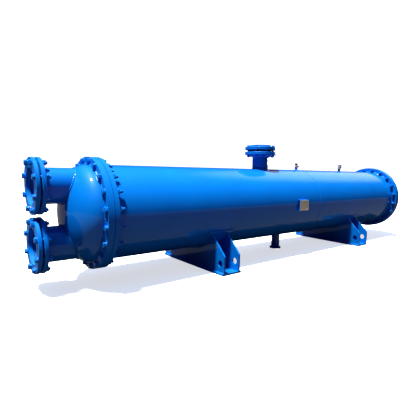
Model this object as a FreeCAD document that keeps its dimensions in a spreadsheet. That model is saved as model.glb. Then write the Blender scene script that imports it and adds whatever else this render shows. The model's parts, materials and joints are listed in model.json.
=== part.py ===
# Shell and tube heat exchanger on two saddles, as a parametric FreeCAD document.
# Frame: +X from the water nozzles to the return end, +Z up. The origin is on the floor, midway along
# the length and midway between the sides. Millimetres.
import FreeCAD
import Part
import Sketcher
import math
import os

V = FreeCAD.Vector
doc = FreeCAD.newDocument("heat_exchanger")

# ---------------------------------------------------------------- driving dimensions
SIZES = [
    ("axis_height", 462, "shell axis above the floor"),
    ("shell_radius", 312, "outside of the shell and of the dished heads"),
    ("shell_wall", 12, "wall of the shell and of the heads"),
    ("front_joint", -1679, "gasket plane between the channel and the front tube sheet"),
    ("rear_joint", 1842.5, "gasket plane between the rear tube sheet and the return head"),
    ("seam", 381, "girth seam between the two courses of the shell"),
    ("seam_width", 14, "width of the girth weld bead"),
    ("seam_height", 2.5, "height of the girth weld bead"),
    ("flange_radius", 360, "outside of the body flanges and the tube sheets"),
    ("flange_thick", 39, "body flange"),
    ("sheet_thick", 29, "tube sheet"),
    ("joint_gap", 3, "body gasket"),
    ("joint_seal", 321, "outside of the body gasket, inside the bolts"),
    ("body_bolts", 20, "bolts round each body flange"),
    ("body_bolt_circle", 338, "radius of the body bolt circle"),
    ("body_bolt_hole", 11, "radius of a body bolt hole"),
    ("head_straight", 9, "straight flange of a dished head"),
    ("head_depth", 156, "depth of a 2 to 1 dished head, outside"),
    ("partition_thick", 10, "pass partition of the channel"),
    ("water_offset", 177, "water nozzle axis above or below the shell axis"),
    ("water_radius", 109.55, "outside of the water pipe"),
    ("water_wall", 8, "wall of the water pipe"),
    ("water_end", -2048, "outer face of the companion flanges of the water nozzles"),
    ("water_flange", 170, "outside radius of the water flanges"),
    ("water_thick", 26, "water flange with its raised face"),
    ("water_bore", 110.75, "bore of a water flange, which the pipe slips into"),
    ("water_face", 134, "raised face of a water flange"),
    ("water_circle", 147.5, "radius of the water bolt circle"),
    ("water_hole", 11, "radius of a water bolt hole"),
    ("face_height", 3, "height of a raised face"),
    ("seal_thick", 4, "nozzle gasket"),
    ("pipe_setback", 6, "end of a slip-on pipe behind its flange face"),
    ("rim_break", 3, "bevel on the rim of a water flange"),
    ("top_x", -138, "shell side inlet on top"),
    ("top_radius", 70.65, "outside of the inlet pipe"),
    ("top_wall", 6.6, "wall of the inlet pipe"),
    ("top_end", 986.5, "top face of the companion flange of the inlet"),
    ("top_flange", 139.7, "outside radius of the inlet flanges"),
    ("top_thick", 48, "inlet flange with its hub and its raised face"),
    ("top_hub", 98, "root of the hub of an inlet flange"),
    ("top_hub_end", 94, "end of that hub"),
    ("top_hub_height", 16, "height of that hub"),
    ("top_bore", 71.6, "bore of an inlet flange"),
    ("top_face", 105, "raised face of an inlet flange"),
    ("top_face_height", 6, "height of the raised face of an inlet flange"),
    ("top_circle", 117.5, "radius of the inlet bolt circle"),
    ("top_hole", 9, "radius of an inlet bolt hole"),
    ("top_break", 3, "bevel on the rim of an inlet flange"),
    ("top_seal", 6, "gasket of the inlet"),
    ("seal_relief", 2, "bore of a nozzle gasket outside the flange bore"),
    ("outlet_x", 109, "drain outlet under the shell"),
    ("outlet_radius", 38.05, "outside of the outlet pipe"),
    ("outlet_wall", 4, "wall of the outlet pipe"),
    ("outlet_end", 16, "lower end of the outlet above the floor"),
    ("collar_radius", 53, "outside of the outlet collar"),
    ("collar_thick", 12, "outlet collar"),
    ("front_saddle", -815, "middle of the front saddle"),
    ("rear_saddle", 1021, "middle of the rear saddle"),
    ("saddle_half", 404, "half length of a saddle across the shell"),
    ("web_spread", 153, "over the two web plates of a saddle, along the shell"),
    ("base_width", 173, "saddle base along the shell"),
    ("pad_width", 233, "wear pad along the shell"),
    ("pad_thick", 8, "wear pad between the shell and the webs"),
    ("pad_wrap", 120, "angle of the shell that the pad covers, in degrees"),
    ("base_thick", 14, "saddle base plate"),
    ("web_thick", 12, "saddle web plate"),
    ("wing_top", 140, "top of the upright end of a web"),
    ("web_reach", 258, "where the sloped edge of a web meets the shell, from the middle"),
    ("web_rise", 287, "height of that meeting"),
    ("tie_y", 356, "hole in the wing of a web, from the middle"),
    ("tie_z", 82, "height of that hole"),
    ("tie_radius", 25, "radius of that hole"),
    ("vent_x", 381, "vent valve on top"),
    ("purge_x", 1151, "purge valve on top"),
    ("stub_radius", 13, "radius of a valve stub"),
    ("stub_top", 801, "top of a valve stub"),
    ("vent_body", 17, "height of the vent valve body"),
    ("vent_reach", 40, "end of the vent valve outlet, from the axis of the stub"),
    ("knob_radius", 12, "vent valve knob"),
    ("purge_radius", 16, "body of the purge valve"),
    ("lever_width", 18, "lever of the purge valve, across the shell"),
    ("lever_height", 38, "lever of the purge valve, up and down"),
    ("lever_thick", 12, "grip of the lever"),
    ("plate_x", 98, "middle of the nameplate"),
    ("plate_z", 459, "middle of the nameplate"),
    ("plate_width", 124, "nameplate bracket along the shell"),
    ("plate_height", 98, "nameplate bracket up and down"),
    ("plate_thick", 2, "nameplate"),
    ("bracket_y", -331, "face of the nameplate bracket"),
    ("bracket_sheet", 4, "sheet of the nameplate bracket"),
    ("plate_margin", 3, "bracket face left bare round the nameplate"),
]

dims = doc.addObject("Spreadsheet::Sheet", "dims")
for row, (alias, value, note) in enumerate(SIZES, start=1):
    dims.set("A%d" % row, alias)
    dims.set("B%d" % row, str(value))
    dims.set("C%d" % row, note)
    dims.setAlias("B%d" % row, alias)
doc.recompute()

NODES = []


def keep(obj, name):
    """Marks an object as a finished piece and names its file."""
    obj.Label = name
    NODES.append(obj)
    return obj


def bind(obj, **expressions):
    """Binds properties of an object to expressions on the sheet."""
    for prop, text in expressions.items():
        obj.setExpression(prop, text)


def put(obj, x="0", y="0", z="0", axis=None, angle=0):
    """Gives an object its Placement, with the position bound to the sheet."""
    if axis is not None:
        obj.Placement = FreeCAD.Placement(V(0, 0, 0), FreeCAD.Rotation(axis, angle))
    for letter, text in (("x", x), ("y", y), ("z", z)):
        obj.setExpression("Placement.Base." + letter, text)
    return obj


# ---------------------------------------------------------------- sketch and body helpers
def new_body(name):
    return keep(doc.addObject("PartDesign::Body", name), name)


def new_sketch(body, role, name):
    """A sketch on one of the body's own origin planes."""
    sketch = body.newObject("Sketcher::SketchObject", name)
    plane = [f for f in body.Origin.OriginFeatures if f.Role == role][0]
    sketch.AttachmentSupport = (plane, [""])
    sketch.MapMode = "FlatFace"
    return sketch


def drive(sketch, index, text):
    """Binds a sketch constraint to the sheet."""
    sketch.setExpression("Constraints[%d]" % index, text)


def value_of(text):
    """The present value of an expression on the sheet."""
    return float(dims.evalExpression(text.replace("dims.", "")))


def add_circle(sketch, radius, across="0", up="0"):
    """A circle with its radius and centre bound to the sheet."""
    centre = V(value_of(across), value_of(up), 0)
    geo = sketch.addGeometry(Part.Circle(centre, V(0, 0, 1), value_of(radius)), False)
    drive(sketch, sketch.addConstraint(Sketcher.Constraint("Radius", geo, value_of(radius))), radius)
    pin_point(sketch, geo, 3, across, up)
    return geo


def pin_point(sketch, geo, pos, across, up):
    """Holds one point of the geometry at a place bound to the sheet."""
    for kind, text in (("DistanceX", across), ("DistanceY", up)):
        value = value_of(text)
        index = sketch.addConstraint(Sketcher.Constraint(kind, geo, pos, value))
        drive(sketch, index, text)


def add_polygon(sketch, corners):
    """A closed polygon whose corners are bound to the sheet."""
    points = [V(value_of(a), value_of(u), 0) for a, u in corners]
    count = len(points)
    geos = [sketch.addGeometry(Part.LineSegment(points[i], points[(i + 1) % count]), False)
            for i in range(count)]
    for i in range(count):
        sketch.addConstraint(Sketcher.Constraint("Coincident", geos[i], 2, geos[(i + 1) % count], 1))
    for i, (across, up) in enumerate(corners):
        pin_point(sketch, geos[i], 1, across, up)
    return geos


def pad(body, sketch, length, reverse=False):
    feature = body.newObject("PartDesign::Pad", sketch.Name + "_pad")
    feature.Profile = sketch
    feature.setExpression("Length", length)
    feature.Reversed = reverse
    sketch.Visibility = False
    doc.recompute()
    return feature


def pocket(body, sketch, reverse=False):
    """A pocket right through the body. It fails if nothing is cut."""
    before = body.Shape.Volume
    feature = body.newObject("PartDesign::Pocket", sketch.Name + "_pocket")
    feature.Profile = sketch
    feature.Type = "ThroughAll"
    feature.Reversed = reverse
    doc.recompute()
    if not body.Shape.Volume < before - 1:
        raise RuntimeError(body.Label + ": a pocket cuts nothing")
    return feature


def revolve_x(body, sketch):
    """A full turn of a profile about the body's X axis."""
    feature = body.newObject("PartDesign::Revolution", sketch.Name + "_turn")
    feature.Profile = sketch
    feature.ReferenceAxis = (sketch, ["H_Axis"])
    feature.Angle = 360
    doc.recompute()
    return feature


def ring_of_holes(body, hole, count):
    """Repeats one hole round the body's X axis."""
    axis = [f for f in body.Origin.OriginFeatures if f.Role == "X_Axis"][0]
    pattern = body.newObject("PartDesign::PolarPattern", hole.Name + "_ring")
    pattern.Originals = [hole]
    pattern.Axis = (axis, [""])
    pattern.Angle = 360
    pattern.setExpression("Occurrences", count)
    body.Tip = pattern
    doc.recompute()
    return pattern


def bolt_holes(body, circle, radius, count):
    """Bolt holes along X, half a step off the top of the circle."""
    sketch = new_sketch(body, "YZ_Plane", body.Name + "_bolt")
    half = "180 / %s" % count
    add_circle(sketch, radius, "%s * sin(%s)" % (circle, half), "%s * cos(%s)" % (circle, half))
    hole = body.newObject("PartDesign::Pocket", sketch.Name + "_hole")
    hole.Profile = sketch
    hole.Type = "ThroughAll"
    hole.Midplane = True
    before = body.Shape.Volume
    doc.recompute()
    if not body.Shape.Volume < before - 1:
        raise RuntimeError(body.Label + ": the bolt hole cuts nothing")
    ring_of_holes(body, hole, count)


def disc(name, outer, inner, thick, holes=None):
    """A disc or ring from x = 0 to its thickness, with a bore and bolt holes if it has them."""
    body = new_body(name)
    sketch = new_sketch(body, "YZ_Plane", name + "_outline")
    add_circle(sketch, outer)
    if inner:
        add_circle(sketch, inner)
    pad(body, sketch, thick)
    if holes:
        bolt_holes(body, *holes)
    return body


# ---------------------------------------------------------------- shell
def shell_course(name, start, end, openings):
    """One rolled course of the shell. Each opening is an x place, a radius and a side."""
    body = new_body(name)
    sketch = new_sketch(body, "YZ_Plane", name + "_section")
    add_circle(sketch, "dims.shell_radius")
    add_circle(sketch, "dims.shell_radius - dims.shell_wall")
    pad(body, sketch, "%s - (%s)" % (end, start))
    for place, radius, below in openings:
        cut = new_sketch(body, "XY_Plane", name + "_opening")
        add_circle(cut, radius, "%s - (%s)" % (place, start))
        pocket(body, cut, reverse=not below)
    put(body, x=start, z="dims.axis_height")
    return body


FRONT_FACE = "dims.front_joint + dims.joint_gap / 2 + dims.sheet_thick"
REAR_FACE = "dims.rear_joint - dims.joint_gap / 2 - dims.sheet_thick"
shell_course("front_shell_course", FRONT_FACE, "dims.seam", [
    ("dims.top_x", "dims.top_radius - dims.top_wall", False),
    ("dims.outlet_x", "dims.outlet_radius - dims.outlet_wall", True),
])
shell_course("rear_shell_course", "dims.seam", REAR_FACE, [])


def girth_weld():
    """The bead of the girth seam: a low ring with rounded shoulders."""
    body = new_body("girth_weld")
    sketch = new_sketch(body, "XZ_Plane", "girth_weld_profile")
    base = "dims.shell_radius"
    crown = "dims.shell_radius + dims.seam_height"
    add_polygon(sketch, [
        ("-dims.seam_width / 2", base),
        ("dims.seam_width / 2", base),
        ("dims.seam_width / 4", crown),
        ("-dims.seam_width / 4", crown),
    ])
    revolve_x(body, sketch)
    put(body, x="dims.seam", z="dims.axis_height")


girth_weld()

# ---------------------------------------------------------------- body joints
BODY_HOLES = ("dims.body_bolt_circle", "dims.body_bolt_hole", "dims.body_bolts")
INSIDE = "dims.shell_radius - dims.shell_wall"

sheet = disc("front_tube_sheet", "dims.flange_radius", None, "dims.sheet_thick", BODY_HOLES)
put(sheet, x="dims.front_joint + dims.joint_gap / 2", z="dims.axis_height")
sheet = disc("rear_tube_sheet", "dims.flange_radius", None, "dims.sheet_thick", BODY_HOLES)
put(sheet, x=REAR_FACE, z="dims.axis_height")

flange = disc("channel_flange", "dims.flange_radius", INSIDE, "dims.flange_thick", BODY_HOLES)
put(flange, x="dims.front_joint - dims.joint_gap / 2 - dims.flange_thick", z="dims.axis_height")
flange = disc("return_flange", "dims.flange_radius", INSIDE, "dims.flange_thick", BODY_HOLES)
put(flange, x="dims.rear_joint + dims.joint_gap / 2", z="dims.axis_height")

seal = disc("front_body_gasket", "dims.joint_seal", INSIDE, "dims.joint_gap")
put(seal, x="dims.front_joint - dims.joint_gap / 2", z="dims.axis_height")
seal = disc("rear_body_gasket", "dims.joint_seal", INSIDE, "dims.joint_gap")
put(seal, x="dims.rear_joint - dims.joint_gap / 2", z="dims.axis_height")


# ---------------------------------------------------------------- dished heads
def primitive(kind, name, **expressions):
    obj = doc.addObject(kind, name)
    bind(obj, **expressions)
    return obj


def dome(name, inset):
    """Half a 2 to 1 ellipsoid with its straight part, pointing along local +Z."""
    cap = primitive("Part::Ellipsoid", name + "_cap",
                    Radius1="dims.head_depth - " + inset,
                    Radius2="dims.shell_radius - " + inset,
                    Radius3="dims.shell_radius - " + inset)
    cap.Angle1 = 0
    cap.Angle2 = 90
    cap.setExpression("Placement.Base.z", "dims.head_straight")
    rim = primitive("Part::Cylinder", name + "_rim",
                    Radius="dims.shell_radius - " + inset,
                    Height="dims.head_straight")
    whole = doc.addObject("Part::Fuse", name)
    whole.Base = cap
    whole.Tool = rim
    return whole


def cut(name, base, tool):
    obj = doc.addObject("Part::Cut", name)
    obj.Base = base
    obj.Tool = tool
    return obj


def head(name):
    """A dished head as a wall of even thickness, pointing along local +Z."""
    return cut(name, dome(name + "_outside", "0"), dome(name + "_inside", "dims.shell_wall"))


def water_hole(name, side):
    """The bore of a water nozzle through the channel head, in the head's own frame."""
    hole = primitive("Part::Cylinder", name,
                     Radius="dims.water_radius - dims.water_wall",
                     Height="dims.head_depth + dims.head_straight + 20")
    hole.setExpression("Placement.Base.x", "%s * dims.water_offset" % side)
    return hole


CHANNEL_BACK = "dims.front_joint - dims.joint_gap / 2 - dims.flange_thick"
blank = head("channel_head_blank")
pierced = cut("channel_head_pierced", blank, water_hole("channel_head_bore_a", "1"))
channel_head = cut("channel_head", pierced, water_hole("channel_head_bore_b", "-1"))
keep(channel_head, "channel_head")
put(channel_head, x=CHANNEL_BACK, z="dims.axis_height", axis=V(0, 1, 0), angle=-90)

return_head = keep(head("return_head"), "return_head")
put(return_head, x="dims.rear_joint + dims.joint_gap / 2 + dims.flange_thick",
    z="dims.axis_height", axis=V(0, 1, 0), angle=90)


def pass_partition():
    """The plate that divides the channel into an upper and a lower half."""
    room = dome("channel_room", "dims.shell_wall")
    put(room, x=CHANNEL_BACK, z="dims.axis_height", axis=V(0, 1, 0), angle=-90)
    throat = primitive("Part::Cylinder", "channel_throat",
                       Radius=INSIDE,
                       Height="dims.flange_thick + dims.joint_gap")
    put(throat, x=CHANNEL_BACK, z="dims.axis_height", axis=V(0, 1, 0), angle=90)
    space = doc.addObject("Part::Fuse", "channel_space")
    space.Base = room
    space.Tool = throat
    slab = primitive("Part::Box", "partition_slab",
                     Length="dims.head_depth + dims.head_straight + dims.flange_thick + dims.joint_gap",
                     Width="2 * dims.shell_radius",
                     Height="dims.partition_thick")
    put(slab, x=CHANNEL_BACK + " - dims.head_depth - dims.head_straight", y="-dims.shell_radius",
        z="dims.axis_height - dims.partition_thick / 2")
    plate = doc.addObject("Part::Common", "pass_partition")
    plate.Base = slab
    plate.Tool = space
    keep(plate, "pass_partition")


pass_partition()


# ---------------------------------------------------------------- flanged nozzles
def slip_on_flange(name, profile, holes):
    """A turned slip-on flange from x = 0 to its raised face on the +X side."""
    body = new_body(name)
    sketch = new_sketch(body, "XZ_Plane", name + "_profile")
    add_polygon(sketch, profile)
    revolve_x(body, sketch)
    bolt_holes(body, *holes)
    return body


def water_flange(name):
    """A flat flange with its rim bevelled."""
    step = "dims.water_thick - dims.face_height"
    lip = "dims.water_flange - dims.rim_break"
    return slip_on_flange(name, [
        ("0", "dims.water_bore"),
        ("0", lip),
        ("dims.rim_break", "dims.water_flange"),
        (step + " - dims.rim_break", "dims.water_flange"),
        (step, lip),
        (step, "dims.water_face"),
        ("dims.water_thick", "dims.water_face"),
        ("dims.water_thick", "dims.water_bore"),
    ], ("dims.water_circle", "dims.water_hole", "8"))


def inlet_flange(name):
    """A flange with a low hub on its back and its rim bevelled."""
    step = "dims.top_thick - dims.top_face_height"
    lip = "dims.top_flange - dims.top_break"
    return slip_on_flange(name, [
        ("0", "dims.top_bore"),
        ("0", "dims.top_hub_end"),
        ("dims.top_hub_height", "dims.top_hub"),
        ("dims.top_hub_height", lip),
        ("dims.top_hub_height + dims.top_break", "dims.top_flange"),
        (step + " - dims.top_break", "dims.top_flange"),
        (step, lip),
        (step, "dims.top_face"),
        ("dims.top_thick", "dims.top_face"),
        ("dims.top_thick", "dims.top_bore"),
    ], ("dims.top_circle", "dims.top_hole", "8"))


NOZZLE_SEAL = "dims.water_end + dims.water_thick"
NOZZLE_FACE = NOZZLE_SEAL + " + dims.seal_thick"


def water_nozzle(level, side):
    """One water nozzle: pipe, flange, gasket and open companion flange, along X."""
    height = "dims.axis_height + %s * dims.water_offset" % side
    companion = water_flange(level + "_water_companion_flange")
    put(companion, x="dims.water_end", z=height)
    seal = disc(level + "_water_gasket", "dims.water_face", "dims.water_bore + dims.seal_relief",
                "dims.seal_thick")
    put(seal, x=NOZZLE_SEAL, z=height)
    flange = water_flange(level + "_water_flange")
    put(flange, x=NOZZLE_FACE + " + dims.water_thick", z=height, axis=V(0, 0, 1), angle=180)

    tube = primitive("Part::Cylinder", level + "_water_tube", Radius="dims.water_radius",
                     Height="dims.front_joint - (%s) - dims.pipe_setback" % NOZZLE_FACE)
    put(tube, x=NOZZLE_FACE + " + dims.pipe_setback", z=height, axis=V(0, 1, 0), angle=90)
    bore = primitive("Part::Cylinder", level + "_water_bore",
                     Radius="dims.water_radius - dims.water_wall",
                     Height="dims.front_joint - (%s)" % NOZZLE_FACE)
    put(bore, x=NOZZLE_FACE, z=height, axis=V(0, 1, 0), angle=90)
    form = dome(level + "_head_form", "0")
    put(form, x=CHANNEL_BACK, z="dims.axis_height", axis=V(0, 1, 0), angle=-90)
    rest = primitive("Part::Box", level + "_joint_form",
                     Length="dims.shell_radius", Width="2 * dims.shell_radius",
                     Height="2 * dims.shell_radius")
    put(rest, x=CHANNEL_BACK, y="-dims.shell_radius", z="dims.axis_height - dims.shell_radius")
    hollow = cut(level + "_water_hollow", tube, bore)
    short = cut(level + "_water_short", hollow, rest)
    keep(cut(level + "_water_pipe", short, form), level + "_water_pipe")


water_nozzle("upper", "1")
water_nozzle("lower", "-1")


def upright(piece, x, z, down=False):
    """Stands a piece made along X on end, its +X side up or down."""
    angle = 90 if down else -90
    return put(piece, x=x, z=z, axis=V(0, 1, 0), angle=angle)


def tube_on_shell(name, x, low, high, radius, wall):
    """An upright pipe whose end is shaped to the outside of the shell."""
    outside = primitive("Part::Cylinder", name + "_outside", Radius=radius,
                        Height="%s - (%s)" % (high, low))
    put(outside, x=x, z=low)
    inside = primitive("Part::Cylinder", name + "_inside", Radius="%s - %s" % (radius, wall),
                       Height="%s - (%s) + 20" % (high, low))
    put(inside, x=x, z=low + " - 10")
    form = primitive("Part::Cylinder", name + "_form", Radius="dims.shell_radius", Height="400")
    put(form, x=x + " - 200", z="dims.axis_height", axis=V(0, 1, 0), angle=90)
    hollow = cut(name + "_hollow", outside, inside)
    return keep(cut(name, hollow, form), name)


TOP_FACE = "dims.top_end - dims.top_thick - dims.top_seal"
tube_on_shell("inlet_pipe", "dims.top_x", "dims.axis_height", TOP_FACE + " - dims.pipe_setback",
              "dims.top_radius", "dims.top_wall")
upright(inlet_flange("inlet_flange"), "dims.top_x", TOP_FACE + " - dims.top_thick")
seal = disc("inlet_gasket", "dims.top_face", "dims.top_bore + dims.seal_relief", "dims.top_seal")
upright(seal, "dims.top_x", TOP_FACE)
upright(inlet_flange("inlet_companion_flange"), "dims.top_x", "dims.top_end", down=True)

tube_on_shell("outlet_pipe", "dims.outlet_x", "dims.outlet_end", "dims.axis_height",
              "dims.outlet_radius", "dims.outlet_wall")
collar = disc("outlet_collar", "dims.collar_radius", "dims.outlet_radius", "dims.collar_thick")
upright(collar, "dims.outlet_x", "dims.outlet_end")


# ---------------------------------------------------------------- valves on top of the shell
def stub(name, x):
    """A short solid stub on top of the shell."""
    post = primitive("Part::Cylinder", name + "_post", Radius="dims.stub_radius",
                     Height="dims.stub_top - dims.axis_height")
    put(post, x=x, z="dims.axis_height")
    form = primitive("Part::Cylinder", name + "_form", Radius="dims.shell_radius", Height="200")
    put(form, x=x + " - 100", z="dims.axis_height", axis=V(0, 1, 0), angle=90)
    return keep(cut(name, post, form), name)


def turned(name, profile, x, z):
    """A piece turned about its upright axis. The profile is height and radius pairs."""
    body = new_body(name)
    sketch = new_sketch(body, "XZ_Plane", name + "_profile")
    corners = [(profile[0][0], "0")] + list(profile) + [(profile[-1][0], "0")]
    add_polygon(sketch, corners)
    revolve_x(body, sketch)
    upright(body, x, z)
    return body


def vent_valve():
    """A small brass valve with a side outlet and a black knob."""
    stub("vent_stub", "dims.vent_x")
    top = "dims.stub_top + dims.vent_body"
    turned("vent_valve_body", [("0", "12.5"), ("dims.vent_body", "12.5")], "dims.vent_x", "dims.stub_top")
    outlet = primitive("Part::Cylinder", "vent_spout_blank", Radius="6.5", Height="dims.vent_reach - 12")
    put(outlet, x="dims.vent_x + 12", z="dims.stub_top + dims.vent_body / 2", axis=V(0, 1, 0), angle=90)
    barrel = primitive("Part::Cylinder", "vent_body_form", Radius="12.5", Height="dims.vent_body")
    put(barrel, x="dims.vent_x", z="dims.stub_top")
    keep(cut("vent_valve_spout", outlet, barrel), "vent_valve_outlet")
    turned("vent_valve_knob", [
        ("0", "5"),
        ("3", "5"),
        ("3", "dims.knob_radius - 1.5"),
        ("5", "dims.knob_radius"),
        ("20", "dims.knob_radius"),
        ("23", "dims.knob_radius - 3"),
    ], "dims.vent_x", top)


vent_valve()


def purge_valve():
    """A small ball valve: a stub, a round body and a lever that hangs at its side."""
    stub("purge_stub", "dims.purge_x")
    turned("purge_valve_body", [
        ("0", "13"),
        ("9", "13"),
        ("12", "dims.purge_radius"),
        ("34", "dims.purge_radius"),
        ("38", "13"),
        ("47", "13"),
    ], "dims.purge_x", "dims.stub_top")
    pivot = primitive("Part::Cylinder", "purge_pivot", Radius="5", Height="dims.purge_radius + 4")
    put(pivot, x="dims.purge_x", z="dims.stub_top + 23", axis=V(0, 1, 0), angle=90)
    grip = primitive("Part::Box", "purge_grip", Length="dims.lever_thick", Width="dims.lever_width",
                     Height="dims.lever_height")
    put(grip, x="dims.purge_x + dims.purge_radius + 3", y="-dims.lever_width / 2",
        z="dims.stub_top + 4")
    whole = doc.addObject("Part::Fuse", "purge_lever_blank")
    whole.Base = grip
    whole.Tool = pivot
    barrel = primitive("Part::Cylinder", "purge_body_form", Radius="dims.purge_radius", Height="60")
    put(barrel, x="dims.purge_x", z="dims.stub_top - 5")
    keep(cut("purge_valve_lever", whole, barrel), "purge_valve_lever")


purge_valve()


# ---------------------------------------------------------------- nameplate
def nameplate():
    """A sheet folded back to the shell above and below, open at its ends, and its plate."""
    left = "dims.plate_x - dims.plate_width / 2"
    low = "dims.plate_z - dims.plate_height / 2"
    block = primitive("Part::Box", "bracket_block", Length="dims.plate_width",
                      Width="dims.shell_radius", Height="dims.plate_height")
    put(block, x=left, y="dims.bracket_y", z=low)
    hollow = primitive("Part::Box", "bracket_hollow", Length="dims.plate_width + 20",
                       Width="dims.shell_radius + 10",
                       Height="dims.plate_height - 2 * dims.bracket_sheet")
    put(hollow, x=left + " - 10", y="dims.bracket_y + dims.bracket_sheet", z=low + " + dims.bracket_sheet")
    form = primitive("Part::Cylinder", "bracket_form", Radius="dims.shell_radius", Height="400")
    put(form, x="dims.plate_x - 200", z="dims.axis_height", axis=V(0, 1, 0), angle=90)
    folded = cut("bracket_folded", block, hollow)
    keep(cut("nameplate_bracket", folded, form), "nameplate_bracket")
    plate = primitive("Part::Box", "nameplate", Length="dims.plate_width - 2 * dims.plate_margin",
                      Width="dims.plate_thick", Height="dims.plate_height - 2 * dims.plate_margin")
    put(plate, x=left + " + dims.plate_margin", y="dims.bracket_y - dims.plate_thick",
        z=low + " + dims.plate_margin")
    keep(plate, "nameplate")


nameplate()


# ---------------------------------------------------------------- saddles
def saddle_base(name, middle):
    base = primitive("Part::Box", name, Length="dims.base_width",
                     Width="2 * dims.saddle_half", Height="dims.base_thick")
    put(base, x=middle + " - dims.base_width / 2", y="-dims.saddle_half")
    keep(base, name)


def saddle_web(name, x):
    """One upright plate of a saddle, hollowed to the shell, with a hole in each wing."""
    body = new_body(name)
    outline = new_sketch(body, "YZ_Plane", name + "_outline")
    add_polygon(outline, [
        ("-dims.saddle_half", "dims.base_thick"),
        ("dims.saddle_half", "dims.base_thick"),
        ("dims.saddle_half", "dims.wing_top"),
        ("dims.web_reach", "dims.web_rise"),
        ("-dims.web_reach", "dims.web_rise"),
        ("-dims.saddle_half", "dims.wing_top"),
    ])
    pad(body, outline, "dims.web_thick")
    for tag, across, up, radius in (
            ("seat", "0", "dims.axis_height", "dims.shell_radius + dims.pad_thick"),
            ("left_hole", "-dims.tie_y", "dims.tie_z", "dims.tie_radius"),
            ("right_hole", "dims.tie_y", "dims.tie_z", "dims.tie_radius")):
        cut_out = new_sketch(body, "YZ_Plane", name + "_" + tag)
        add_circle(cut_out, radius, across, up)
        hole = body.newObject("PartDesign::Pocket", cut_out.Name + "_pocket")
        hole.Profile = cut_out
        hole.Type = "ThroughAll"
        hole.Midplane = True
        before = body.Shape.Volume
        doc.recompute()
        if not body.Shape.Volume < before - 1:
            raise RuntimeError(name + ": " + tag + " cuts nothing")
    put(body, x=x)


def wear_pad(name, middle):
    """A curved plate that spreads the load between the webs and the shell."""
    wrap = "dims.pad_wrap"
    turn = FreeCAD.Rotation(V(0, 1, 0), 90) * FreeCAD.Rotation(V(0, 0, 1), -value_of(wrap) / 2)
    outside = primitive("Part::Cylinder", name + "_outside", Angle=wrap, Height="dims.pad_width",
                        Radius="dims.shell_radius + dims.pad_thick")
    put(outside, x=middle + " - dims.pad_width / 2", z="dims.axis_height", axis=turn.Axis,
        angle=math.degrees(turn.Angle))
    inside = primitive("Part::Cylinder", name + "_inside", Radius="dims.shell_radius",
                       Height="dims.pad_width + 20")
    put(inside, x=middle + " - dims.pad_width / 2 - 10", z="dims.axis_height", axis=V(0, 1, 0), angle=90)
    keep(cut(name, outside, inside), name)


for end in ("front", "rear"):
    middle = "dims.%s_saddle" % end
    saddle_base(end + "_saddle_base", middle)
    wear_pad(end + "_saddle_pad", middle)
    saddle_web(end + "_saddle_near_web", middle + " - dims.web_spread / 2")
    saddle_web(end + "_saddle_far_web", middle + " + dims.web_spread / 2 - dims.web_thick")


# ---------------------------------------------------------------- checks and export
doc.recompute()
for obj in doc.Objects:
    if "Invalid" in obj.State or "Error" in obj.State:
        raise RuntimeError("%s failed: %s" % (obj.Label, obj.State))
for obj in NODES:
    shape = obj.Shape
    if shape.isNull() or not shape.isValid() or not shape.Solids:
        raise RuntimeError(obj.Label + " has no valid shape")

os.makedirs("parts", exist_ok=True)
for obj in NODES:
    obj.Shape.exportStep(os.path.join("parts", obj.Label + ".step"))

total = sum(obj.Shape.Volume for obj in NODES)
print("%d pieces, %.1f litres of metal" % (len(NODES), total / 1e6))
for obj in NODES:
    box = obj.Shape.BoundBox
    print("%-28s solids %d  x %8.1f %8.1f  y %7.1f %7.1f  z %7.1f %7.1f  cm3 %9.1f" % (
        obj.Label, len(obj.Shape.Solids), box.XMin, box.XMax, box.YMin, box.YMax,
        box.ZMin, box.ZMax, obj.Shape.Volume / 1e3))
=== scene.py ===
# Looks for the shell and tube heat exchanger: paint, bolts, welds, tube ends, valve details, stage.
# Metres, in the CAD frame: +X from the water nozzles to the return end, +Z up, origin on the floor.
import bpy
import json
import math
from mathutils import Matrix, Vector, noise


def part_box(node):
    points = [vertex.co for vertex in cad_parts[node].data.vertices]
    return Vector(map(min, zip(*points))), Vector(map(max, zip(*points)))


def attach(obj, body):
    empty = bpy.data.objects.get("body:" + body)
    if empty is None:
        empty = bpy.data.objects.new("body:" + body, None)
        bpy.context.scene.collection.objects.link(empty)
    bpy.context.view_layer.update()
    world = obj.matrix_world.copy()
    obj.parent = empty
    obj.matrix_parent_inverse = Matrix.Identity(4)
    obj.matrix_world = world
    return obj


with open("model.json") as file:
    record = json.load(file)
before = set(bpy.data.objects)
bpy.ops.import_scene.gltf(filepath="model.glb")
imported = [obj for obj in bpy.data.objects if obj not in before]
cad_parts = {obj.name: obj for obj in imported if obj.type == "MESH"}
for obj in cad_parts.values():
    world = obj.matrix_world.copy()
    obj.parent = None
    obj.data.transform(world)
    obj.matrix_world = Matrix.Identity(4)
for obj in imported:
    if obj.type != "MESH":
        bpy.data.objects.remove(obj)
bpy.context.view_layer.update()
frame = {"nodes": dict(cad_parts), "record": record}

TAU = 2 * math.pi
FRONT, REAR = Vector((-1, 0, 0)), Vector((1, 0, 0))
UP, ACROSS = Vector((0, 0, 1)), Vector((0, 1, 0))


def box(node):
    """The low and the high corner of a CAD node."""
    low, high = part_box(node)
    return Vector(low), Vector(high)


def middle(node):
    low, high = box(node)
    return (low + high) / 2


# ---------------------------------------------------------------- sizes from the CAD
shell_low, shell_high = box("front_shell_course")
AXIS = (shell_low.z + shell_high.z) / 2
SHELL_R = (shell_high.z - shell_low.z) / 2
INLET_X = middle("inlet_pipe").x

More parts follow.
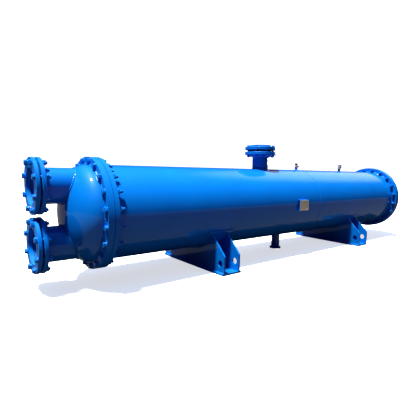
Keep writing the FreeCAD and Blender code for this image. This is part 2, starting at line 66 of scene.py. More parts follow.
# Dimensions repeated from the source of the part, and bolt sizes that fit its holes.
BODY_CIRCLE, WATER_CIRCLE, INLET_CIRCLE = 0.338, 0.1475, 0.1175
BODY_BOLTS, NOZZLE_BOLTS = 20, 8
M20, M16 = 0.020, 0.016
WATER_R = 0.10955
HEAD_DEPTH = 0.156
INLET_HUB = 0.016
PAD_THICK = 0.008
PAD_HALF_WRAP = math.radians(60)


# ---------------------------------------------------------------- node helpers
MIX_A, MIX_B, MIX_OUT = 6, 7, 2  # the colour sockets of a mix node


def nodes_of(name):
    mat = bpy.data.materials.new(name)
    mat.use_nodes = True
    tree = mat.node_tree
    return mat, tree, tree.nodes["Principled BSDF"]


def add(tree, kind, **values):
    """A node with its properties and its inputs set by name."""
    node = tree.nodes.new(kind)
    for key, value in values.items():
        if key in node.inputs:
            node.inputs[key].default_value = value
        else:
            setattr(node, key, value)
    return node


def link(tree, out_socket, in_socket):
    tree.links.new(out_socket, in_socket)


def noise_tex(tree, scale, detail=3.0, rough=0.5, stretch=None):
    """Noise in object space, which is the shared frame here, so its scale is per metre."""
    source = add(tree, "ShaderNodeTexCoord").outputs["Object"]
    if stretch:
        mapping = add(tree, "ShaderNodeMapping", Scale=stretch)
        link(tree, source, mapping.inputs["Vector"])
        source = mapping.outputs["Vector"]
    tex = add(tree, "ShaderNodeTexNoise", Scale=scale, Detail=detail, Roughness=rough)
    link(tree, source, tex.inputs["Vector"])
    return tex.outputs["Fac"]


def ramp(tree, fac, low, high, dark, light):
    node = add(tree, "ShaderNodeValToRGB")
    first, last = node.color_ramp.elements[0], node.color_ramp.elements[1]
    first.position, last.position = low, high
    first.color, last.color = (*dark, 1), (*light, 1)
    link(tree, fac, node.inputs["Fac"])
    return node.outputs["Color"]


def map_range(tree, value, settings, **properties):
    """A map range node, with its inputs given by their names."""
    node = add(tree, "ShaderNodeMapRange", **properties)
    for key, number in settings.items():
        node.inputs[key].default_value = number
    link(tree, value, node.inputs["Value"])
    return node.outputs["Result"]


def span(tree, fac, low, high):
    """A factor from 0 to 1 mapped to a range."""
    return map_range(tree, fac, {"To Min": low, "To Max": high})


def span_from(tree, value, low, high):
    """A value in a range mapped to a factor from 0 to 1."""
    return map_range(tree, value, {"From Min": low, "From Max": high})


def bumps(tree, layers):
    """A chain of bump nodes. Each layer is a height, its distance in metres and its strength."""
    normal = None
    for height, distance, strength in layers:
        node = add(tree, "ShaderNodeBump", Strength=strength, Distance=distance)
        link(tree, height, node.inputs["Height"])
        if normal is not None:
            link(tree, normal, node.inputs["Normal"])
        normal = node.outputs["Normal"]
    return normal


# ---------------------------------------------------------------- procedural materials
BLUE = (0.0, 0.160, 0.56)
BLUE_PALE = (0.0, 0.178, 0.60)
DUST = (0.32, 0.42, 0.55, 1)


def dusty(tree, tone, amount):
    """A tone with specks of pale dust on the faces that look up."""
    split = add(tree, "ShaderNodeSeparateXYZ")
    link(tree, add(tree, "ShaderNodeNewGeometry").outputs["Normal"], split.inputs["Vector"])
    specks = add(tree, "ShaderNodeMath", operation="MULTIPLY")
    link(tree, span_from(tree, split.outputs["Z"], 0.6, 1.0), specks.inputs[0])
    link(tree, span(tree, noise_tex(tree, 35.0, 6.0, 0.7), 0.0, amount), specks.inputs[1])
    mix = add(tree, "ShaderNodeMix", data_type="RGBA")
    link(tree, specks.outputs["Value"], mix.inputs["Factor"])
    link(tree, tone, mix.inputs[MIX_A])
    mix.inputs[MIX_B].default_value = DUST
    return mix.outputs[MIX_OUT]


def paint(name, wave=0.0005, peel=0.00006, dust=0.03, gloss=0.05, coat=1.0):
    """Glossy blue enamel over steel: slow ripples of the plate, orange peel and a little dust on top."""
    mat, tree, shader = nodes_of(name)
    tone = ramp(tree, noise_tex(tree, 4.0, 4.0, 0.6), 0.3, 0.7, BLUE, BLUE_PALE)
    link(tree, dusty(tree, tone, dust), shader.inputs["Base Color"])
    link(tree, span(tree, noise_tex(tree, 18.0, 5.0, 0.6), 0.42, 0.55), shader.inputs["Roughness"])
    shader.inputs["Specular IOR Level"].default_value = 0.12
    shader.inputs["Coat Weight"].default_value = coat
    shader.inputs["Coat Roughness"].default_value = gloss
    shader.inputs["Coat IOR"].default_value = 1.5
    normal = bumps(tree, [
        (noise_tex(tree, 4.0, 1.0, 0.4, (0.35, 1.0, 1.0)), wave, 1.0),
        (noise_tex(tree, 900.0, 2.0, 0.5), peel, 0.7),
    ])
    link(tree, normal, shader.inputs["Normal"])
    link(tree, normal, shader.inputs["Coat Normal"])
    return mat


def machined(name, colour, metallic, rough):
    """Bare or plated metal with fine tool marks and a slight tone change."""
    mat, tree, shader = nodes_of(name)
    dark = tuple(c * 0.75 for c in colour)
    tone = ramp(tree, noise_tex(tree, 60.0, 5.0, 0.6), 0.25, 0.75, dark, colour)
    link(tree, tone, shader.inputs["Base Color"])
    shader.inputs["Metallic"].default_value = metallic
    polish = span(tree, noise_tex(tree, 90.0, 4.0, 0.6), rough - 0.07, rough + 0.10)
    link(tree, polish, shader.inputs["Roughness"])
    marks = noise_tex(tree, 220.0, 4.0, 0.6, (1.0, 1.0, 6.0))
    link(tree, bumps(tree, [(marks, 0.00005, 0.8)]), shader.inputs["Normal"])
    return mat


def fibre(name, colour):
    """Compressed fibre or moulded plastic: matt, with a fine short grain."""
    mat, tree, shader = nodes_of(name)
    light = tuple(c * 1.8 + 0.004 for c in colour)
    tone = ramp(tree, noise_tex(tree, 300.0, 5.0, 0.7), 0.3, 0.7, colour, light)
    link(tree, tone, shader.inputs["Base Color"])
    link(tree, span(tree, noise_tex(tree, 80.0, 3.0), 0.65, 0.85), shader.inputs["Roughness"])
    grain = noise_tex(tree, 700.0, 4.0, 0.7)
    link(tree, bumps(tree, [(grain, 0.0002, 0.6)]), shader.inputs["Normal"])
    return mat


def brushed(name, dark, light, rough, metallic):
    """Finely brushed plate metal."""
    mat, tree, shader = nodes_of(name)
    brush = noise_tex(tree, 120.0, 5.0, 0.6, (0.15, 1.0, 6.0))
    link(tree, ramp(tree, brush, 0.25, 0.75, dark, light), shader.inputs["Base Color"])
    shader.inputs["Metallic"].default_value = metallic
    polish = span(tree, noise_tex(tree, 50.0, 4.0), rough - 0.06, rough + 0.1)
    link(tree, polish, shader.inputs["Roughness"])
    link(tree, bumps(tree, [(brush, 0.0001, 0.6)]), shader.inputs["Normal"])
    return mat


PAINT = paint("blue_enamel")
PAINT_CAST = paint("blue_enamel_thick", wave=0.0003, peel=0.00012, dust=0.05, gloss=0.12, coat=0.8)
PAINT_RIM = paint("blue_enamel_brushed", wave=0.0001, peel=0.00010, dust=0.05, gloss=0.24, coat=0.45)
GASKET = fibre("gasket_fibre", (0.010, 0.010, 0.012))
BRASS = machined("brass_turned", (0.80, 0.62, 0.34), metallic=0.55, rough=0.34)
STEEL = machined("steel_plated", (0.55, 0.54, 0.52), metallic=1.0, rough=0.34)
DARK = machined("steel_dark", (0.045, 0.045, 0.05), metallic=0.4, rough=0.42)
# Matt black plastic for the knobs, also used for the discs of painted shade in the tube bores.
KNOB_AND_BORE_SHADE = fibre("knob_plastic_and_bore_shade", (0.014, 0.014, 0.015))
TUBE = machined("tube_steel", (0.42, 0.36, 0.30), metallic=1.0, rough=0.38)
PLATE = brushed("etched_plate", (0.86, 0.62, 0.40), (1.0, 0.86, 0.62), rough=0.30, metallic=0.85)
BORDER = brushed("bright_border", (0.82, 0.83, 0.86), (0.97, 0.97, 0.98), rough=0.30, metallic=0.6)
PLATED = machined("plated_metal", (0.62, 0.58, 0.52), metallic=0.35, rough=0.42)

FINISH = {"blue_paint": PAINT, "gasket": GASKET, "brass": BRASS, "black_knob": KNOB_AND_BORE_SHADE,
          "dark_metal": DARK, "plate": PLATE, "plated_metal": PLATED}


def finish_nodes():
    """Gives every CAD node its material. Painted flanges and tube sheets are less glossy."""
    for sub in frame["record"]["subparts"]:
        node = frame["nodes"][sub["node"]]
        finish = FINISH[sub["material_slot"]]
        if finish is PAINT and sub["node"].endswith(("_flange", "_tube_sheet")):
            finish = PAINT_RIM
        node.data.materials.clear()
        node.data.materials.append(finish)


finish_nodes()


# ---------------------------------------------------------------- mesh building
class Shape:
    """Collects vertices and faces for one joined piece."""

    def __init__(self):
        self.verts = []
        self.faces = []

    def rings(self, rows, looped=False, caps=(False, False)):
        """Skins rows of points, each a closed loop of one length. Looped joins the last row to the first."""
        start = len(self.verts)
        count = len(rows[0])
        for row in rows:
            self.verts.extend(row)
        steps = len(rows) if looped else len(rows) - 1
        for i in range(steps):
            near = start + i * count
            far = start + ((i + 1) % len(rows)) * count
            for j in range(count):
                k = (j + 1) % count
                self.faces.append((near + j, near + k, far + k, far + j))
        if caps[0]:
            self.faces.append(tuple(start + j for j in reversed(range(count))))
        if caps[1]:
            last = start + (len(rows) - 1) * count
            self.faces.append(tuple(last + j for j in range(count)))

    def piece(self, name, material, slot, smooth=40):
        """Makes the mesh, smooth but for edges sharper than an angle in degrees."""
        mesh = bpy.data.meshes.new(name)
        mesh.from_pydata([tuple(v) for v in self.verts], [], self.faces)
        mesh.validate()
        mesh.update()
        obj = bpy.data.objects.new(name, mesh)
        bpy.context.scene.collection.objects.link(obj)
        mesh.materials.append(material)
        mesh.shade_smooth()
        mesh.set_sharp_from_angle(angle=math.radians(smooth))
        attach(obj, "root")


def turn_to(axis, origin, twist=0.0):
    """A matrix that puts local +Z along an axis at an origin."""
    aim = Vector(axis).to_track_quat("Z", "Y").to_matrix().to_4x4()
    return Matrix.Translation(Vector(origin)) @ aim @ Matrix.Rotation(twist, 4, "Z")


def lifted(matrix, height):
    """The same matrix moved along its local +Z."""
    return matrix @ Matrix.Translation((0, 0, height))


def lathe(shape, matrix, profile, count=32, caps=(False, False)):
    """Turns (radius, height) pairs about local Z."""
    rows = []
    for radius, height in profile:
        rows.append([matrix @ Vector((radius * math.cos(TAU * j / count),
                                      radius * math.sin(TAU * j / count), height))
                     for j in range(count)])
    shape.rings(rows, caps=caps)


HEX_POINTS = 24
HEX_SLOPE = math.tan(math.radians(30))


def hexagon(shape, matrix, flats, height, both=False, bore=0.0):
    """A hexagon head or nut from local z = 0 up, chamfered on top and, with both, underneath too."""
    face_r = flats / 2 * 0.95

    def loop(level, chamfer=0, radius=None):
        """Points round the hexagon, or round a circle if it has a radius."""
        row = []
        for j in range(HEX_POINTS):
            angle = TAU * j / HEX_POINTS
            r = radius or flats / 2 / math.cos(angle % (TAU / 6) - TAU / 12)
            z = level + chamfer * (r - face_r) * HEX_SLOPE
            row.append(matrix @ Vector((r * math.cos(angle), r * math.sin(angle), z)))
        return row

    rows = [loop(0.0, radius=face_r), loop(0.0, chamfer=1)] if both else [loop(0.0)]
    rows += [loop(height, chamfer=-1), loop(height, radius=face_r)]
    if bore:
        rows.append(loop(height - 0.0008, radius=bore))
    shape.rings(rows, caps=(True, not bore))
    if bore:
        shape.rings([rows[-1], loop(height * 0.5, radius=bore)], caps=(False, True))


# ---------------------------------------------------------------- bolts
THREAD_PITCH = 0.0025


def thread(shape, matrix, radius, length):
    """A threaded end from local z = 0 up, with a chamfered tip."""
    root = radius - THREAD_PITCH * 0.5
    turns = max(2, int(length / THREAD_PITCH))
    profile = []
    for i in range(turns):
        profile.append((root, i * length / turns))
        profile.append((radius, (i + 0.5) * length / turns))
    profile.append((root, length))
    profile.append((root - 0.001, length + 0.001))
    lathe(shape, matrix, profile, count=16, caps=(False, True))


def bolt_set(shape, head, nut, size, twist, tail):
    """A bolt through a joint: washer and head at one end, washer, nut and thread at the other.
    The tail is the thread beyond the nut."""
    axis = (nut - head).normalized()
    grip = (nut - head).length
    shank, flats, washer = size * 0.5, size * 1.5, size * 0.15
    ring = [(shank, 0), (size * 0.92, 0), (size * 0.92, washer), (shank, washer)]
    out = turn_to(-axis, head, twist)
    lathe(shape, out, ring, count=24)
    hexagon(shape, lifted(out, washer), flats, size * 0.63)
    lathe(shape, turn_to(axis, head), [(shank, -washer), (shank, grip + washer)], count=20)
    back = turn_to(axis, nut, twist + 0.35)
    lathe(shape, back, ring, count=24)
    hexagon(shape, lifted(back, washer), flats, size * 0.85, both=True, bore=shank)
    thread(shape, lifted(back, washer + size * 0.6), size * 0.49, size * 0.25 + tail)


def bolt_ring(name, first, second, radius, count, size, tail):
    """Bolt sets round a joint, half a step off its side. The two points are the centres of the faces
    that the bolts clamp, and the heads are on the first."""
    shape = Shape()
    axis = (second - first).normalized()
    other = axis.cross(ACROSS)
    for i in range(count):
        angle = TAU * (i + 0.5) / count
        arm = (ACROSS * math.cos(angle) + other * math.sin(angle)) * radius
        bolt_set(shape, first + arm, second + arm, size, noise.random() * TAU, tail)
    shape.piece(name, PAINT_CAST, "blue_paint", smooth=30)


def all_bolts():
    """The bolts of both body joints, of the two water nozzles and of the inlet."""
    outer, inner = box("channel_flange")[0].x, box("front_tube_sheet")[1].x
    bolt_ring("front_body_bolts", Vector((outer, 0, AXIS)), Vector((inner, 0, AXIS)),
              BODY_CIRCLE, BODY_BOLTS, M20, tail=0.018)
    outer, inner = box("return_flange")[1].x, box("rear_tube_sheet")[0].x
    bolt_ring("rear_body_bolts", Vector((outer, 0, AXIS)), Vector((inner, 0, AXIS)),
              BODY_CIRCLE, BODY_BOLTS, M20, tail=0.012)
    for level in ("upper", "lower"):
        height = middle(level + "_water_companion_flange").z
        outer = box(level + "_water_companion_flange")[0].x
        inner = box(level + "_water_flange")[1].x
        bolt_ring(level + "_water_bolts", Vector((outer, 0, height)), Vector((inner, 0, height)),
                  WATER_CIRCLE, NOZZLE_BOLTS, M20, tail=0.008)
    top = box("inlet_companion_flange")[1].z - INLET_HUB
    low = box("inlet_flange")[0].z + INLET_HUB
    bolt_ring("inlet_bolts", Vector((INLET_X, 0, top)), Vector((INLET_X, 0, low)),
              INLET_CIRCLE, NOZZLE_BOLTS, M16, tail=0.003)


noise.seed_set(7)
all_bolts()


# ---------------------------------------------------------------- weld beads
BEAD_SIDES = 8
PROUD = 0.001         # how far the middle of most beads stands off the surface
SADDLE_BEAD = 0.005
WEB_HALF_WRAP = math.radians(55)


def bead(shape, path, radius, closed=True, seed=0.0):
    """A weld bead along a path: a tube with fine ripples across it."""
    total = len(path)
    rows = []
    for i, point in enumerate(path):
        before = path[(i - 1) % total] if closed or i else path[0]
        after = path[(i + 1) % total] if closed or i < total - 1 else path[-1]
        along = (after - before).normalized()
        side = along.cross(UP)
        if side.length < 0.2:
            side = along.cross(ACROSS)
        side.normalize()
        up = side.cross(along).normalized()
        swell = 1 + 0.10 * math.sin(i * 1.35) + 0.10 * noise.noise(point * 25 + Vector((seed, 0, 0)))
        row = []
        for j in range(BEAD_SIDES):
            angle = TAU * j / BEAD_SIDES
            row.append(point + (side * math.cos(angle) + up * math.sin(angle)) * radius * swell)
        rows.append(row)
    shape.rings(rows, looped=closed, caps=(not closed, not closed))


def circle_path(centre, axis, radius, step=0.004):
    count = max(24, int(TAU * radius / step))
    matrix = turn_to(axis, centre)
    return [matrix @ Vector((radius * math.cos(TAU * i / count), radius * math.sin(TAU * i / count), 0))
            for i in range(count)]


def straight_path(start, end, steps):
    return [start.lerp(end, i / steps) for i in range(steps + 1)]


def on_shell(x, radius, above, step=0.003):
    """The line where an upright pipe meets the shell."""
    count = int(TAU * radius / step)
    path = []
    for i in range(count):
        angle = TAU * i / count
        y = radius * math.sin(angle)
        rise = math.sqrt(SHELL_R ** 2 - y * y)
        path.append(Vector((x + radius * math.cos(angle), y, AXIS + (rise if above else -rise))))
    return path


def on_head(height, radius, count=220):
    """The line where a water pipe meets the dished channel head."""
    head_x = box("channel_head")[0].x + HEAD_DEPTH
    path = []
    for i in range(count):
        angle = TAU * i / count
        y = radius * math.cos(angle)
        z = height - AXIS + radius * math.sin(angle)
        rise = math.sqrt(max(0.0, 1 - (y * y + z * z) / SHELL_R ** 2))
        path.append(Vector((head_x - HEAD_DEPTH * rise - PROUD, y, AXIS + z)))
    return path


def round_shell(x, radius, angle):
    """A point at a radius round the shell's axis, by its angle from straight down."""
    return Vector((x, radius * math.sin(angle), AXIS - radius * math.cos(angle)))


def body_welds():
    """Rings where the shell meets the tube sheets and the heads meet their flanges."""
    shape = Shape()
    for x in (shell_low.x, box("rear_shell_course")[1].x):
        bead(shape, circle_path((x, 0, AXIS), REAR, SHELL_R + 2 * PROUD), radius=0.007)
    for x in (box("channel_flange")[0].x, box("return_flange")[1].x):
        bead(shape, circle_path((x, 0, AXIS), REAR, SHELL_R + 2 * PROUD), radius=0.007, seed=3.0)
    shape.piece("body_welds", PAINT_CAST, "blue_paint", smooth=60)


def water_nozzle_welds():
    """Beads behind the water flanges and where the water pipes meet the channel head."""
    shape = Shape()
    for level in ("upper", "lower"):
        height = middle(level + "_water_flange").z
        back = box(level + "_water_flange")[1].x
        ring = circle_path((back, 0, height), REAR, WATER_R + PROUD, step=0.003)
        bead(shape, ring, radius=0.0055)
        bead(shape, on_head(height, WATER_R), radius=0.0065, seed=5.0)
    shape.piece("water_nozzle_welds", PAINT_CAST, "blue_paint", smooth=60)


def branch_welds():
    """Beads of the inlet, the outlet and the two valve stubs."""
    shape = Shape()
    inlet_low, inlet_high = box("inlet_pipe")
    inlet_r = (inlet_high.y - inlet_low.y) / 2
    inlet_foot = (INLET_X, 0, box("inlet_flange")[0].z)
    bead(shape, on_shell(INLET_X, inlet_r + PROUD, above=True), radius=0.006)
    bead(shape, circle_path(inlet_foot, UP, inlet_r + PROUD, step=0.003), radius=0.005, seed=2.0)
    outlet_low, outlet_high = box("outlet_pipe")
    outlet_x = middle("outlet_pipe").x
    outlet_r = (outlet_high.y - outlet_low.y) / 2
    collar_top = (outlet_x, 0, box("outlet_collar")[1].z)
    bead(shape, on_shell(outlet_x, outlet_r + PROUD, above=False), radius=0.005, seed=4.0)
    bead(shape, circle_path(collar_top, UP, outlet_r + PROUD, step=0.003), radius=0.004, seed=6.0)
    for stub in ("vent_stub", "purge_stub"):
        low, high = box(stub)
        joint = on_shell(middle(stub).x, (high.y - low.y) / 2, above=True, step=0.002)
        bead(shape, joint, radius=0.0035, seed=8.0)
    shape.piece("branch_welds", PAINT_CAST, "blue_paint", smooth=60)


def pad_outline(end):
    """The edge of a wear pad, as a closed line on the shell."""
    low, high = box(end + "_saddle_pad")
    corners = [(low.x, -PAD_HALF_WRAP), (high.x, -PAD_HALF_WRAP),
               (high.x, PAD_HALF_WRAP), (low.x, PAD_HALF_WRAP)]
    line = []
    for k in range(4):
        x0, a0 = corners[k]
        x1, a1 = corners[(k + 1) % 4]
        steps = 60 if x0 != x1 else 170
        for i in range(steps):
            share = i / steps
            line.append(round_shell(x0 + (x1 - x0) * share, SHELL_R + PROUD, a0 + (a1 - a0) * share))
    return line


def saddle_welds():
    """Beads along the feet of the webs, between webs and pads, and round the pads."""
    shape = Shape()
    for end in ("front", "rear"):
        for tag in ("near", "far"):
            low, high = box(end + "_saddle_%s_web" % tag)
            outside = low.x if tag == "near" else high.x
            near_end, far_end = Vector((outside, low.y, low.z)), Vector((outside, high.y, low.z))
            bead(shape, straight_path(near_end, far_end, steps=200), SADDLE_BEAD, closed=False)
            arc = [round_shell(outside, SHELL_R + PAD_THICK, WEB_HALF_WRAP * (i / 90 - 1))
                   for i in range(181)]
            bead(shape, arc, SADDLE_BEAD, closed=False, seed=1.0)
        bead(shape, pad_outline(end), SADDLE_BEAD, seed=7.0)
    shape.piece("saddle_welds", PAINT_CAST, "blue_paint", smooth=60)


def bracket_welds():
    """Fillets where the folded nameplate bracket meets the shell."""
    low, high = box("nameplate_bracket")
    shape = Shape()
    for z in (low.z, high.z):
        y = -math.sqrt(SHELL_R ** 2 - (z - AXIS) ** 2) - PROUD
        path = straight_path(Vector((low.x, y, z)), Vector((high.x, y, z)), steps=60)
        bead(shape, path, radius=0.0035, closed=False, seed=9.0)
    shape.piece("bracket_welds", PAINT_CAST, "blue_paint", smooth=60)


body_welds()
water_nozzle_welds()
branch_welds()
saddle_welds()


# ---------------------------------------------------------------- tube ends behind the water nozzles
TUBE_PITCH, TUBE_R, TUBE_BORE_R = 0.032, 0.0127, 0.0106
TUBE_LANE = 0.024     # from the shell's axis to the first row of tubes
TUBE_LIMIT = 0.284    # the outermost tube centre
TUBE_STANDOUT = 0.003


def tube_places():
    """The (y, z) centres of the tubes from the shell's axis, in staggered rows above and below the lane."""
    places = []
    for side in (-1, 1):
        for row in range(9):
            z = side * (TUBE_LANE + row * TUBE_PITCH * math.sqrt(3) / 2)
            shift = TUBE_PITCH / 2 * (row % 2)
            places += [(col * TUBE_PITCH + shift, z) for col in range(-9, 10)]
    return [(y, z) for y, z in places if math.hypot(y, z) <= TUBE_LIMIT]


def tube_ends():
    """Ends of the tubes on the front tube sheet, each with its bead, and a black disc in its bore as painted
    shade of the hollow tube.
    """
    face_x = box("front_tube_sheet")[0].x
    rings, bore_shade = Shape(), Shape()
    profile = [(TUBE_R + 0.0012, 0.0), (TUBE_R, TUBE_STANDOUT / 2), (TUBE_R, TUBE_STANDOUT),
               (TUBE_BORE_R, TUBE_STANDOUT), (TUBE_BORE_R, 0.0)]
    for y, z in tube_places():
        out = turn_to(FRONT, (face_x, y, AXIS + z))
        lathe(rings, out, profile, count=16)
        # A black disc over each bore: painted shade standing in for the dark hollow of the tube.
        lathe(bore_shade, out, [(TUBE_BORE_R, 0.0003), (0.0005, 0.0003)], count=16, caps=(False, True))
    rings.piece("tube_ends", TUBE, "plated_metal", smooth=30)
    bore_shade.piece("tube_bore_painted_shade", KNOB_AND_BORE_SHADE, "black_knob", smooth=30)


tube_ends()


# ---------------------------------------------------------------- nameplate border, lines and rivets
def upright_rectangle(low, high, y, inset):
    """The corners of a rectangle across Y, drawn in by an inset."""
    x0, x1 = low[0] + inset, high[0] - inset
    z0, z1 = low[2] + inset, high[2] - inset
    return [Vector((x0, y, z0)), Vector((x1, y, z0)), Vector((x1, y, z1)), Vector((x0, y, z1))]


def bar(shape, low, high, bevel):
    """A rectangular bar with its edges towards -Y bevelled."""
    back = upright_rectangle(low, high, high[1], 0)
    shoulder = upright_rectangle(low, high, low[1] + bevel, 0)
    front = upright_rectangle(low, high, low[1], bevel)
    shape.rings([back, shoulder, front], caps=(True, True))


def nameplate_trim():
    """A bright raised border round the blank plate, blank ruled lines and four rivets."""
    low, high = box("nameplate")
    width, rise, edge = 0.007, 0.0012, 0.0006
    border = Shape()
    rows = [(low.y, 0), (low.y - rise + edge, 0), (low.y - rise, edge),
            (low.y - rise, width - edge), (low.y - rise + edge, width), (low.y, width)]
    border.rings([upright_rectangle(low, high, y, inset) for y, inset in rows])
    margin, first_line, line_step, half_line = 0.014, 0.020, 0.0135, 0.0006
    left, right = low.x + margin, high.x - margin
    for step in range(5):
        z = high.z - first_line - step * line_step
        bar(border, (left, low.y - 0.0005, z - half_line), (right, low.y + 0.0002, z + half_line),
            bevel=0.0002)
    border.piece("nameplate_border", BORDER, "plate", smooth=20)
    rivets = Shape()
    dome = [(0.0026, 0.0), (0.0024, 0.0007), (0.0016, 0.0014), (0.0004, 0.0017)]
    for x in (low.x + width / 2, high.x - width / 2):
        for z in (low.z + width / 2, high.z - width / 2):
            out = turn_to((0, -1, 0), (x, low.y - rise, z))
            lathe(rivets, out, dome, count=20, caps=(True, True))
    rivets.piece("nameplate_rivets", STEEL, "plate", smooth=50)


nameplate_trim()


# ---------------------------------------------------------------- valve details
def vent_details():
    """Two hexes and a hose tip on the vent valve, and ribs round its knob."""
    x = middle("vent_stub").x
    brass = Shape()
    base = turn_to(UP, (x, 0, box("vent_stub")[1].z))
    hexagon(brass, lifted(base, 0.0005), flats=0.030, height=0.006, both=True)
    hexagon(brass, lifted(base, 0.0115), flats=0.027, height=0.005, both=True)
    tip = turn_to(REAR, (box("vent_valve_outlet")[1].x, 0, middle("vent_valve_outlet").z))
    for k in range(3):
        barb = [(0.0064, 0.0), (0.0082, 0.0006), (0.0066, 0.0040)]
        lathe(brass, lifted(tip, -0.014 + k * 0.0045), barb, count=24)
    brass.piece("vent_valve_trim", BRASS, "brass", smooth=30)
    low, high = box("vent_valve_knob")
    radius = (high.y - low.y) / 2
    ribs = Shape()
    for i in range(20):
        angle = TAU * i / 20
        foot = Vector((x + radius * math.cos(angle), radius * math.sin(angle), low.z + 0.006))
        rib = [(0.0004, -0.001), (0.0012, 0.0), (0.0012, 0.013), (0.0004, 0.014)]
        lathe(ribs, turn_to(UP, foot), rib, count=8, caps=(True, True))
    ribs.piece("vent_knob_ribs", KNOB_AND_BORE_SHADE, "black_knob", smooth=50)


def purge_details():
    """A hex at each end of the purge valve, and a screw and grip ridges on its lever."""
    x = middle("purge_stub").x
    body_low, body_high = box("purge_valve_body")
    plated = Shape()
    for z in (body_low.z + 0.0005, body_high.z - 0.0085):
        hexagon(plated, turn_to(UP, (x, 0, z), twist=0.3), flats=0.031, height=0.008, both=True)
    plated.piece("purge_valve_hexes", PLATED, "plated_metal", smooth=30)
    lever_low, lever_high = box("purge_valve_lever")
    screw = Shape()
    pivot = (lever_high.x, 0, body_low.z + 0.023)
    hexagon(screw, turn_to(REAR, pivot), flats=0.010, height=0.005)
    for k in range(4):
        start = Vector((lever_high.x, lever_low.y + 0.002, lever_low.z + 0.005 + k * 0.004))
        ridge = straight_path(start, start + ACROSS * 0.014, steps=10)
        bead(screw, ridge, radius=0.0008, closed=False)
    screw.piece("purge_lever_screw", DARK, "dark_metal")


vent_details()
purge_details()
bracket_welds()


# ---------------------------------------------------------------- stage, light and camera
DIM_GROUND = (0.085, 0.082, 0.078, 1)
FLOOR_GLOW = 0.55


def stage_floor():
    """A pale studio floor that glows a little for the camera. All other rays meet a dim, dark ground."""
    mesh = bpy.data.meshes.new("studio_floor")
    size = 60.0
    corners = [(-size, -size, 0), (size, -size, 0), (size, size, 0), (-size, size, 0)]
    mesh.from_pydata(corners, [], [(0, 1, 2, 3)])
    floor = bpy.data.objects.new("studio_floor", mesh)
    bpy.context.scene.collection.objects.link(floor)
    mat, tree, shader = nodes_of("studio_floor_paint")
    pale = ramp(tree, noise_tex(tree, 2.0, 4.0), 0.3, 0.7, (0.80, 0.80, 0.80), (0.84, 0.84, 0.84))
    seen = add(tree, "ShaderNodeLightPath").outputs["Is Camera Ray"]
    tone = add(tree, "ShaderNodeMix", data_type="RGBA")
    link(tree, seen, tone.inputs["Factor"])
    tone.inputs[MIX_A].default_value = DIM_GROUND
    link(tree, pale, tone.inputs[MIX_B])
    link(tree, tone.outputs[MIX_OUT], shader.inputs["Base Color"])
    link(tree, span(tree, noise_tex(tree, 8.0, 4.0), 0.75, 0.9), shader.inputs["Roughness"])
    shader.inputs["Specular IOR Level"].default_value = 0.0
    shader.inputs["Emission Color"].default_value = (1, 1, 1, 1)
    link(tree, span(tree, seen, 0.0, FLOOR_GLOW), shader.inputs["Emission Strength"])
    mesh.materials.append(mat)


stage_floor()

SKY = [
    (0.00, (0.20, 0.20, 0.20)),
    (0.49, (0.25, 0.25, 0.25)),
    (0.50, (0.0, 0.01, 0.03)),
    (0.66, (0.005, 0.02, 0.08)),
    (0.80, (0.02, 0.10, 0.30)),
    (1.00, (0.05, 0.22, 0.60)),
]
GLOW_TOWARDS = Vector((0.84, 0.22, 0.50)).normalized()


def sky_colour(tree, direction):
    """Dim ground tone below the horizon, dark at the horizon and blue above, by the height of a ray."""
    split = add(tree, "ShaderNodeSeparateXYZ")
    link(tree, direction, split.inputs["Vector"])
    node = add(tree, "ShaderNodeValToRGB")
    link(tree, span_from(tree, split.outputs["Z"], -1.0, 1.0), node.inputs["Fac"])
    stops = node.color_ramp.elements
    stops[0].position, stops[0].color = SKY[0][0], (*SKY[0][1], 1)
    stops[1].position, stops[1].color = SKY[-1][0], (*SKY[-1][1], 1)
    for position, colour in SKY[1:-1]:
        stops.new(position).color = (*colour, 1)
    return node.outputs["Color"]


def sky_glow(tree, direction):
    """A soft patch of light high behind the return end."""
    facing = add(tree, "ShaderNodeVectorMath", operation="DOT_PRODUCT")
    link(tree, direction, facing.inputs[0])
    facing.inputs[1].default_value = GLOW_TOWARDS
    settings = {"From Min": 0.91, "From Max": 0.995, "To Min": 0.0, "To Max": 0.9}
    return map_range(tree, facing.outputs["Value"], settings, interpolation_type="SMOOTHSTEP")


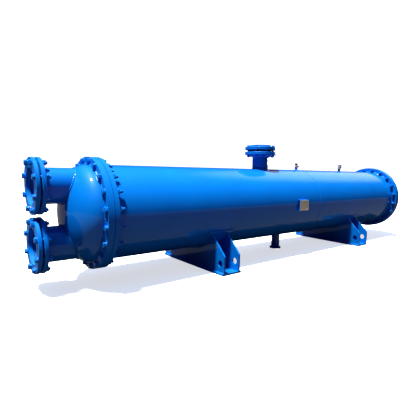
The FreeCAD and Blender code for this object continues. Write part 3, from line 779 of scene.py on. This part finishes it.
def world_light():
    """The sky that lights the object and shows in the paint. The camera sees plain white instead."""
    world = bpy.data.worlds.new("studio_world")
    bpy.context.scene.world = world
    world.use_nodes = True
    tree = world.node_tree
    back = tree.nodes["Background"]
    direction = add(tree, "ShaderNodeTexCoord").outputs["Generated"]
    total = add(tree, "ShaderNodeMix", data_type="RGBA", blend_type="ADD")
    total.inputs["Factor"].default_value = 1.0
    link(tree, sky_colour(tree, direction), total.inputs[MIX_A])
    link(tree, sky_glow(tree, direction), total.inputs[MIX_B])
    back.inputs["Strength"].default_value = 1.0
    link(tree, total.outputs[MIX_OUT], back.inputs["Color"])
    white = add(tree, "ShaderNodeBackground", Strength=1.0)
    white.inputs["Color"].default_value = (1, 1, 1, 1)
    mix = add(tree, "ShaderNodeMixShader")
    link(tree, add(tree, "ShaderNodeLightPath").outputs["Is Camera Ray"], mix.inputs["Fac"])
    link(tree, back.outputs["Background"], mix.inputs[1])
    link(tree, white.outputs["Background"], mix.inputs[2])
    link(tree, mix.outputs["Shader"], tree.nodes["World Output"].inputs["Surface"])


world_light()


def sun(name, energy, width, colour, towards):
    """A distant light of a width in degrees that shines in a direction."""
    data = bpy.data.lights.new(name, "SUN")
    data.energy = energy
    data.angle = math.radians(width)
    data.color = colour
    lamp = bpy.data.objects.new(name, data)
    bpy.context.scene.collection.objects.link(lamp)
    lamp.rotation_euler = Vector(towards).to_track_quat("-Z", "Y").to_euler()


# The main light is overhead and leans from the water nozzles. The weak fill comes in low from behind the
# return end, just outside the camera's view, so that the far sides are not dull.
sun("overhead", energy=8.8, width=6, colour=(1.0, 0.98, 0.90), towards=(0.27, 0.0, -1.0))
sun("rear_fill", energy=1.1, width=12, colour=(0.92, 0.96, 1.0), towards=(-0.97, -0.24, -0.12))


def add_camera():
    """A 30 mm view from the front left, a little below the top of the shell."""
    data = bpy.data.cameras.new("photo_view")
    data.sensor_width = 36.0
    data.lens = 29.94
    camera = bpy.data.objects.new("photo_view", data)
    bpy.context.scene.collection.objects.link(camera)
    place = (-2.4813, -2.2447, 0.7402)
    yaw, pitch, roll = math.radians(38.263), math.radians(6.223), math.radians(1.045)
    forward = Vector((math.sin(yaw) * math.cos(pitch), math.cos(yaw) * math.cos(pitch), -math.sin(pitch)))
    right = Vector((math.cos(yaw), -math.sin(yaw), 0))
    up = right.cross(forward)
    rolled_right = right * math.cos(roll) + up * math.sin(roll)
    rolled_up = up * math.cos(roll) - right * math.sin(roll)
    turn = Matrix((rolled_right, rolled_up, -forward)).transposed().to_4x4()
    camera.matrix_world = Matrix.Translation(place) @ turn
    bpy.context.scene.camera = camera


add_camera()

scene = bpy.context.scene
scene.view_settings.view_transform = "Standard"
scene.view_settings.look = "Medium High Contrast"
